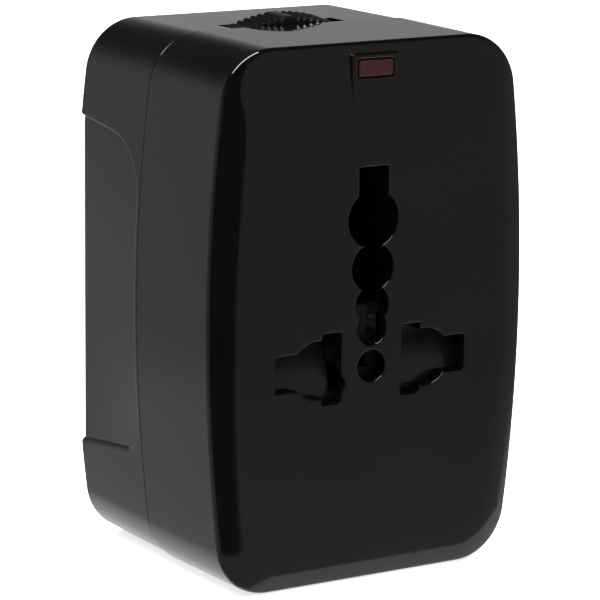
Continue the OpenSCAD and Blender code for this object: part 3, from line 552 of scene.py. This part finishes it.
# Lamp board and its parts
# A small green board on two posts carries the neon lamp, its resistor, a blue varistor and a tube fuse.
# The parts are soldered flat, and two red leads run down to the clips.
board_green, tree, shader, place = node_chain("board_green")
lay_flat = tree.nodes.new("ShaderNodeMapping")
lay_flat.inputs["Rotation"].default_value = (math.pi / 2, 0, 0)
tree.links.new(place, lay_flat.inputs["Vector"])
tracks = tree.nodes.new("ShaderNodeTexBrick")
tracks.inputs["Color1"].default_value = (0.030, 0.085, 0.022, 1)
tracks.inputs["Color2"].default_value = (0.036, 0.100, 0.027, 1)
tracks.inputs["Mortar"].default_value = (0.075, 0.170, 0.050, 1)
tracks.inputs["Scale"].default_value = 260.0
tracks.inputs["Mortar Size"].default_value = 0.05
tree.links.new(lay_flat.outputs["Vector"], tracks.inputs["Vector"])
tree.links.new(tracks.outputs["Color"], shader.inputs["Base Color"])
vary(tree, noise(tree, place, 300), 0.28, 0.42, shader.inputs["Roughness"])
relief(tree, tracks.outputs["Fac"], 0.00002, shader)
softened("circuit_board", 0.12, board_green, "board")

neon_glass, tree, shader, place = node_chain("neon_glass")
tint(tree, noise(tree, place, 250), (0.62, 0.30, 0.13), (0.78, 0.42, 0.20), shader.inputs["Base Color"])
vary(tree, noise(tree, place, 300), 0.05, 0.12, shader.inputs["Roughness"])
shader.inputs["Transmission Weight"].default_value = 0.6
softened("indicator_lamp", 1.1, neon_glass, "lamp")


def banded(name, first, last, bands, rough):
    """A material with plain bands across a part that lies along the width, from first to last in mm."""
    material, tree, shader, place = node_chain(name)
    split = tree.nodes.new("ShaderNodeSeparateXYZ")
    tree.links.new(place, split.inputs["Vector"])
    along = tree.nodes.new("ShaderNodeMapRange")
    along.inputs["From Min"].default_value = first / 1000
    along.inputs["From Max"].default_value = last / 1000
    tree.links.new(split.outputs["X"], along.inputs["Value"])
    ramp = tree.nodes.new("ShaderNodeValToRGB")
    ramp.color_ramp.interpolation = "CONSTANT"
    for i, (start, colour) in enumerate(bands):
        stop = ramp.color_ramp.elements[i] if i < 2 else ramp.color_ramp.elements.new(start)
        stop.position = start
        stop.color = (*colour, 1)
    tree.links.new(along.outputs["Result"], ramp.inputs["Fac"])
    tree.links.new(ramp.outputs["Color"], shader.inputs["Base Color"])
    vary(tree, noise(tree, place, 400), rough, rough + 0.12, shader.inputs["Roughness"])
    relief(tree, noise(tree, place, 700), 0.000004, shader)
    return material


tan = (0.46, 0.35, 0.18)
brown = (0.06, 0.025, 0.012)
black = (0.01, 0.01, 0.01)
red = (0.30, 0.02, 0.015)
resistor_tan = banded("resistor_tan", -3.5, 3.5, [
    (0.0, tan), (0.18, brown), (0.26, tan), (0.36, black), (0.44, tan), (0.54, red), (0.62, tan)], 0.35)
softened("lamp_resistor", 0.5, resistor_tan, "resistor")

varistor_blue, tree, shader, place = node_chain("varistor_blue")
tint(tree, noise(tree, place, 250), (0.016, 0.075, 0.26), (0.026, 0.105, 0.34), shader.inputs["Base Color"])
vary(tree, noise(tree, place, 350), 0.12, 0.26, shader.inputs["Roughness"])
relief(tree, noise(tree, place, 350, 2), 0.00003, shader)
softened("varistor", 0.9, varistor_blue, "varistor")

cap = (0.50, 0.50, 0.51)
glaze = (0.62, 0.62, 0.57)
fuse_ends = [c * 1000 for c in (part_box("fuse")[0][0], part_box("fuse")[1][0])]
fuse_glaze = banded("fuse_glaze", *fuse_ends, [(0.0, cap), (0.215, glaze), (0.785, cap)], 0.14)
softened("fuse", 0.25, fuse_glaze, "fuse")

lead_red, tree, shader, place = node_chain("lead_red")
tint(tree, noise(tree, place, 500), (0.19, 0.016, 0.013), (0.26, 0.024, 0.019), shader.inputs["Base Color"])
vary(tree, noise(tree, place, 600), 0.30, 0.45, shader.inputs["Roughness"])
for solid in ("line_wire", "neutral_wire"):
    softened(solid, 0, lead_red, "wire")


# Straps to the flat blades
# Two stamped brass straps, from the clips' tabs down to a ring round each blade's root, which feeds the
# blade while it twists.
for solid in ("line_strap", "neutral_strap"):
    softened(solid, 0.1, brass, "brass")


# Back plate and its screws
# A satin black plate that closes the socket half at the seam, with two round bores for the turrets. Four
# zinc-plated cross-head screws hold it to the posts.
def screws(solid, places, y, outwards):
    """Screws with a cross pressed into each head; outwards is the way their heads face along the depth."""
    made = softened(solid, 0.18, zinc_steel, "steel")
    for x, z in places:
        for half_w, half_h in ((1.15, 0.24), (0.24, 1.15)):
            ends = sorted((y + outwards * 0.5, y - outwards * 0.55))
            carve(made, slab((x - half_w, ends[0], z - half_h), (x + half_w, ends[1], z + half_h), 0.1))
    shade(made)
    dress(made, zinc_steel, "steel", body_of(frame["nodes"][solid])[0], solid)


softened("back_plate", 0.2, satin_black, "inner")
screws("front_screws", [(s * x, z) for s in (-1, 1) for x, z in front_posts], 0.35, 1)


# Turrets and flat blades
# Each flat brass blade is pressed into a black disc that turns in the back plate, so that the pair stands
# parallel or slanted. A flange inside keeps the disc in.
for side in ("left", "right"):
    softened(side + "_rotor", 0.2, satin_black, "inner")
    softened(side + "_blade", 0.3, brass, "brass")


# Plug half's casing
# The second black moulded shell, a little narrower at the seam than the first, and stepped to take its
# tongue. Each side has a shallow grip recess, the top has a slot for the thumb wheel, and the rear wall has
# slots for the folded pins.
rear_rim_y = 0.72
rear_y = 19.15
rear_inner_y = 17.15
recess_y = 2.1
recess_top = 58.6
recess_low = 16.7
recess_floor_x = 24.65
recess_rear_x = 23.3


def recess_tool(side):
    """The space that the grip recess takes: its floor follows the bowed side in front and is flat behind."""
    def bowed(z):
        return recess_floor_x - side_bow * ((z - half_height) / (half_height - corner_r)) ** 2

    past_rear = rear_y + 2.85
    front_limit = recess_y + 0.1
    plan = bmesh.new()
    corners = [plan.verts.new((side * 22.5, y, z)) for y, z in (
        (recess_y, recess_top), (past_rear, 61.0), (past_rear, 14.0), (recess_y, recess_low))]
    pull(plan, plan.faces.new(corners), (side * 4.0, 0, 0))
    for z, radius in ((recess_top, 7.5), (recess_low, 3.4)):
        across = [e for e in plan.edges
                  if all(v.co.y < front_limit and abs(v.co.z - z) < 0.1 for v in e.verts)]
        round_off(plan, across, radius, 12)
    upright = [e for e in plan.edges if all(v.co.y < front_limit for v in e.verts)
               and abs(e.verts[0].co.z - e.verts[1].co.z) > 20]
    bmesh.ops.subdivide_edges(plan, edges=upright, cuts=11, use_grid_fill=True)
    # The front wall leans at 45 degrees, and the lower wall half as much
    for v in plan.verts:
        v.co.y -= abs(v.co.x) - bowed(v.co.z)
        if v.co.z < 22:
            v.co.z -= 0.5 * (abs(v.co.x) - 23.5)
    prism = as_object(plan, "recess")
    floor = bmesh.new()
    bmesh.ops.create_grid(floor, x_segments=12, y_segments=40, size=1)
    bmesh.ops.rotate(floor, matrix=Matrix.Rotation(math.pi / 2, 3, "Y"), verts=floor.verts)
    bmesh.ops.scale(floor, vec=(1, 11.0, 27.0), verts=floor.verts)
    bmesh.ops.translate(floor, vec=(0, 11.5, half_height), verts=floor.verts)
    for v in floor.verts:
        back = min(1, max(0, (v.co.y - recess_y) / (rear_y - recess_y)))
        floor_x = bowed(v.co.z)
        v.co.x = side * ((1 - back) * floor_x + back * min(floor_x, recess_rear_x))
    made = bmesh.ops.extrude_face_region(floor, geom=floor.faces[:])["geom"]
    bmesh.ops.translate(floor, vec=(side * 6.0, 0, 0),
                        verts=[g for g in made if isinstance(g, bmesh.types.BMVert)])
    carve(prism, floor, "INTERSECT")
    tool = bmesh.new()
    tool.from_mesh(prism.data)
    bmesh.ops.scale(tool, vec=(1000, 1000, 1000), verts=tool.verts)
    bpy.data.objects.remove(prism)
    return tool


step_depth = 0.85
rear = bmesh.new()
rim = outline_face(rear, rear_rim_y)
tighten(rear, rim, 0.15)
end = pull(rear, rim, (0, rear_y - rear_rim_y, 0))
tighten(rear, end, 0.06)
bmesh.ops.recalc_face_normals(rear, faces=rear.faces)
inset(rear, rim, 1.0)
step = pull(rear, rim, (0, step_depth, 0))
inset(rear, step, 0.85)
pull(rear, step, (0, rear_inner_y - rear_rim_y - step_depth, 0))
round_off(rear, edges_at(rear, rear_y), 0.45, 4)
round_lip(rear, rear_rim_y)
plug_casing = as_object(rear, "plug_casing")
cover_posts = ((18.7, 8.5), (19.6, 27.0))
frame_post = (19.6, 58.0)
for side in (-1, 1):
    xs = sorted((side * 22.5, side * 23.4))
    backing = slab((xs[0], 2.5, 14), (xs[1], 17.3, 62))
    carve(plug_casing, backing, "UNION")
    for x, z in (*cover_posts, frame_post):
        carve(plug_casing, rod_y(side * x, z, post_r, 10.9, rear_inner_y + 0.5, 32), "UNION")
        carve(plug_casing, rod_y(side * x, z, screw_bore_r, 10.0, 16.15, 24))
    carve(plug_casing, recess_tool(side))
carve(plug_casing, rod_y(wheel_x, wheel_z, wheel_pocket_r, -2, 5.05, 160))
flat_pin_slots = ((7.425, 14.775, 10.8, 38.05), (-14.775, -7.425, 10.8, 38.05))
round_pin_slots = ((6.0, 13.0, 40.15, 65.2), (-13.0, -6.0, 40.15, 65.2))
earth_pin_slot = (-2.5, 2.5, 28.0, 61.9)
carrier_slot = (-13.0, 13.0, 61.7, 68.7)
for low_x, high_x, low_z, high_z in (*flat_pin_slots, *round_pin_slots, earth_pin_slot, carrier_slot):
    carve(plug_casing, slab((low_x, 16.0, low_z), (high_x, 21, high_z), 0.4))
soften_rims(plug_casing, 0.34, lambda x, y, z: abs(x) > 23.0 and 1.6 < y < 19.2 and 14 < z < 62)
soften_rims(plug_casing, 0.3, lambda x, y, z: abs(y - rear_y) < 0.01)
soften_rims(plug_casing, 0.12, lambda x, y, z: z > 73.3 and 0.7 < y < 5.2 and -11 < x < 9, 2)
shade(plug_casing)
dress(plug_casing, gloss_black, "casing", "plug_half", "rear_casing")


# Pin frame, middle cover and their screws
# The frame carries the hinges of the folding pins. The cover closes the plug half at the seam and has the
# wheel's pocket and two round wells for the blades. Zinc-plated screws hold both to the casing.
softened("pin_frame", 0.2, satin_black, "inner")
softened("frame_screws", 0.18, zinc_steel, "steel")
softened("mid_cover", 0.2, satin_black, "inner")
screws("rear_screws", [(s * x, z) for s in (-1, 1) for x, z in cover_posts], 0.75, -1)


# Thumb wheel
# A black moulded disc on a steel axle. Groups of five grooves across its rim, with a plain land between
# them, give the thumb a grip. Its front has a shallow ring, and a hub runs back to the pinion.
wheel_front_y = 0.75
wheel_back_y = 4.75
axle_r = 1.55
hub = [(axle_r, 8.35), (3.2, 8.35), (3.2, wheel_back_y)]
grip = [(20.2, wheel_back_y), (20.48, 4.45), (20.15, 1.0), (19.85, wheel_front_y)]
front_ring = [(16.5, wheel_front_y), (16.0, 1.35), (7.5, 1.35), (7.0, wheel_front_y)]
head_seat = [(2.9, wheel_front_y), (2.9, 2.0), (axle_r, 2.0)]
profile = hub + grip + front_ring + head_seat
wheel = bmesh.new()
corners = [wheel.verts.new((r, y, 0)) for r, y in profile]
ring = [wheel.edges.new((a, b)) for a, b in zip(corners, corners[1:] + corners[:1])]
steps_round = 468
steps_in_group = 26
steps_in_groove = 4
grooves_in_group = 5
first_step = 24
groove_depths = {1: 0.12, 2: 0.45, 3: 0.12}
groove_slant = math.radians(2.4)
bmesh.ops.spin(wheel, geom=corners + ring, cent=(0, 0, 0), axis=(0, 1, 0), angle=2 * math.pi,
               steps=steps_round, use_merge=True)
bmesh.ops.recalc_face_normals(wheel, faces=wheel.faces)
for v in wheel.verts:
    radius = math.hypot(v.co.x, v.co.z)
    angle = math.atan2(v.co.x, v.co.z)
    place_on_rim = (round(angle / (2 * math.pi) * steps_round) + first_step) % steps_in_group
    if radius > 19.7:
        if place_on_rim < steps_in_groove * grooves_in_group:
            radius -= groove_depths.get(place_on_rim % steps_in_groove, 0)
        angle -= groove_slant * (v.co.y - wheel_front_y) / (wheel_back_y - wheel_front_y)
        v.co = (radius * math.sin(angle), v.co.y, radius * math.cos(angle))
bmesh.ops.translate(wheel, vec=(wheel_x, 0, wheel_z), verts=wheel.verts)
thumb_wheel = as_object(wheel, "thumb_wheel")
shade(thumb_wheel, 25)
wheel_black, tree, shader, place = node_chain("wheel_black")
tint(tree, noise(tree, place, 120), (0.0024, 0.0022, 0.0020), (0.0036, 0.0034, 0.0031),
     shader.inputs["Base Color"])
vary(tree, noise(tree, place, 300, 4), 0.20, 0.30, shader.inputs["Roughness"])
relief(tree, noise(tree, place, 2000, 2), 0.000003, shader)
shader.inputs["Specular IOR Level"].default_value = 0.3
dress(thumb_wheel, wheel_black, "casing", "selector", "selector_wheel")


# Selector's works
# A headed steel axle carries the wheel. On its hub a white acetal pinion drives a toothed slide, whose two
# brass bridges run over the bus bars that feed the pins.
acetal, tree, shader, place = node_chain("white_acetal")
tint(tree, noise(tree, place, 300), (0.56, 0.54, 0.46), (0.64, 0.62, 0.54), shader.inputs["Base Color"])
vary(tree, noise(tree, place, 500), 0.32, 0.46, shader.inputs["Roughness"])
relief(tree, noise(tree, place, 1500), 0.000004, shader)
softened("wheel_axle", 0.2, zinc_steel, "steel")
for solid in ("selector_pinion", "changeover_slide"):
    softened(solid, 0.1, acetal, "gear")
for solid in ("slide_contact", "line_bus", "neutral_bus"):
    softened(solid, 0.1, brass, "brass")


# Folding pins
# Two rectangular brass pins with black sleeves on their upper half, a long black earth pin, and two round
# brass pins, also sleeved, in a black carrier. Each turns on a steel axle in the frame's ears.
def sleeve(pin, height):
    """Gives a pin its black sleeve above a height in millimetres."""
    mesh = bmesh.new()
    mesh.from_mesh(pin.data)
    bmesh.ops.bisect_plane(mesh, geom=mesh.verts[:] + mesh.edges[:] + mesh.faces[:],
                           plane_co=(0, 0, height / 1000), plane_no=(0, 0, 1))
    for f in mesh.faces:
        f.material_index = 1 if f.calc_center_median().z * 1000 > height else 0
    mesh.to_mesh(pin.data)
    mesh.free()
    pin.data.materials.append(satin_black)


for solid in ("uk_line_pin", "uk_neutral_pin"):
    sleeve(softened(solid, 0.4, brass, "brass"), 22.5)
softened("uk_earth_pin", 0.4, satin_black, "inner")
softened("eu_carrier", 0.25, satin_black, "inner")
sleeve(softened("eu_pins", 0, brass, "brass"), 52.0)
for solid in ("uk_pin_axles", "earth_axle", "eu_axle"):
    softened(solid, 0.15, zinc_steel, "steel")


# The studio
# A pale floor, soft light from above and the camera at the photograph's place. The glossy plastic mirrors the
# room, so the room has a bright backdrop, a dim ceiling, light near the ground and a dark side in front.
bpy.context.scene.view_settings.view_transform = "Standard"
pale, tree, shader, place = node_chain("pale_floor")
tint(tree, noise(tree, place, 3), (0.86, 0.86, 0.86), (0.88, 0.88, 0.88), shader.inputs["Base Color"])
shader.inputs["Roughness"].default_value = 0.9
shader.inputs["Emission Color"].default_value = (1, 1, 1, 1)
shader.inputs["Emission Strength"].default_value = 0.75
ground = bmesh.new()
bmesh.ops.create_grid(ground, x_segments=1, y_segments=1, size=3)
floor_piece = bpy.data.objects.new("floor", bpy.data.meshes.new("floor"))
ground.to_mesh(floor_piece.data)
ground.free()
bpy.context.scene.collection.objects.link(floor_piece)
floor_piece.data.materials.append(pale)
floor_piece.visible_glossy = False

world = bpy.data.worlds.new("studio")
bpy.context.scene.world = world
world.use_nodes = True
tree = world.node_tree
way = tree.nodes.new("ShaderNodeTexCoord").outputs["Generated"]
split = tree.nodes.new("ShaderNodeSeparateXYZ")
tree.links.new(way, split.inputs["Vector"])


def fade(value, start, stop, first, last):
    """A soft step of the surroundings' brightness."""
    step = tree.nodes.new("ShaderNodeMapRange")
    step.interpolation_type = "SMOOTHSTEP"
    for socket, number in (("From Min", start), ("From Max", stop), ("To Min", first), ("To Max", last)):
        step.inputs[socket].default_value = number
    tree.links.new(value, step.inputs["Value"])
    return step.outputs["Result"]


def towards(direction):
    """How nearly a ray of the surroundings looks along a direction, from -1 to 1."""
    turn = tree.nodes.new("ShaderNodeVectorMath")
    turn.operation = "DOT_PRODUCT"
    turn.inputs[1].default_value = direction
    tree.links.new(way, turn.inputs[0])
    return turn.outputs["Value"]


def times(a, b):
    """The product of two brightnesses."""
    product = tree.nodes.new("ShaderNodeMath")
    product.operation = "MULTIPLY"
    tree.links.new(a, product.inputs[0])
    tree.links.new(b, product.inputs[1])
    return product.outputs["Value"]


backdrop = fade(towards((-0.5, 0.86, 0)), -0.6, 0.9, 0.27, 0.43)
ceiling = fade(split.outputs["Z"], 0.10, 0.50, 1.0, 0.12)
ground_glow = fade(split.outputs["Z"], -0.30, -0.22, 1.35, 1.0)
border_light = fade(towards((0.6, 0, -0.8)), 0.765, 0.81, 1.0, 2.8)
under_light = fade(towards((0, 0.5, -0.87)), 0.72, 0.88, 1.0, 1.8)
dark_room = fade(towards((-0.07, -0.997, 0)), 0.885, 0.925, 1.0, 0.12)
glow = times(times(times(backdrop, ceiling), times(ground_glow, dark_room)),
             times(border_light, under_light))
tree.links.new(glow, tree.nodes["Background"].inputs["Strength"])
tree.nodes["Background"].inputs["Color"].default_value = (1.0, 0.995, 0.97, 1)


def softbox(name, place, width, depth, watts, mirrored):
    """A soft light that looks straight down. Mirrored says whether the gloss shows it."""
    light = bpy.data.lights.new(name, "AREA")
    light.shape = "RECTANGLE"
    light.size = width
    light.size_y = depth
    light.energy = watts
    lamp = bpy.data.objects.new(name, light)
    lamp.matrix_world = Matrix.Translation(place)
    lamp.visible_glossy = mirrored
    bpy.context.scene.collection.objects.link(lamp)


softbox("overhead", (-0.2, -0.05, 0.68), 0.6, 0.2, 8.4, True)
softbox("fill", (0, 0, 1.3), 3.2, 3.2, 90.0, False)

camera_data = bpy.data.cameras.new("camera")
camera_data.lens = 194.08
camera_data.sensor_width = 36.0
camera_data.clip_start = 0.01
camera = bpy.data.objects.new("camera", camera_data)
side_angle = math.radians(-31.946)
height_angle = math.radians(12.17)
roll = math.radians(0.683)
turned = (Matrix.Rotation(side_angle, 4, "Z") @ Matrix.Rotation(math.pi / 2 - height_angle, 4, "X")
          @ Matrix.Rotation(roll, 4, "Z"))
camera.matrix_world = Matrix.Translation((-0.2324, -0.37345, 0.1303)) @ turned
bpy.context.scene.collection.objects.link(camera)
bpy.context.scene.camera = camera
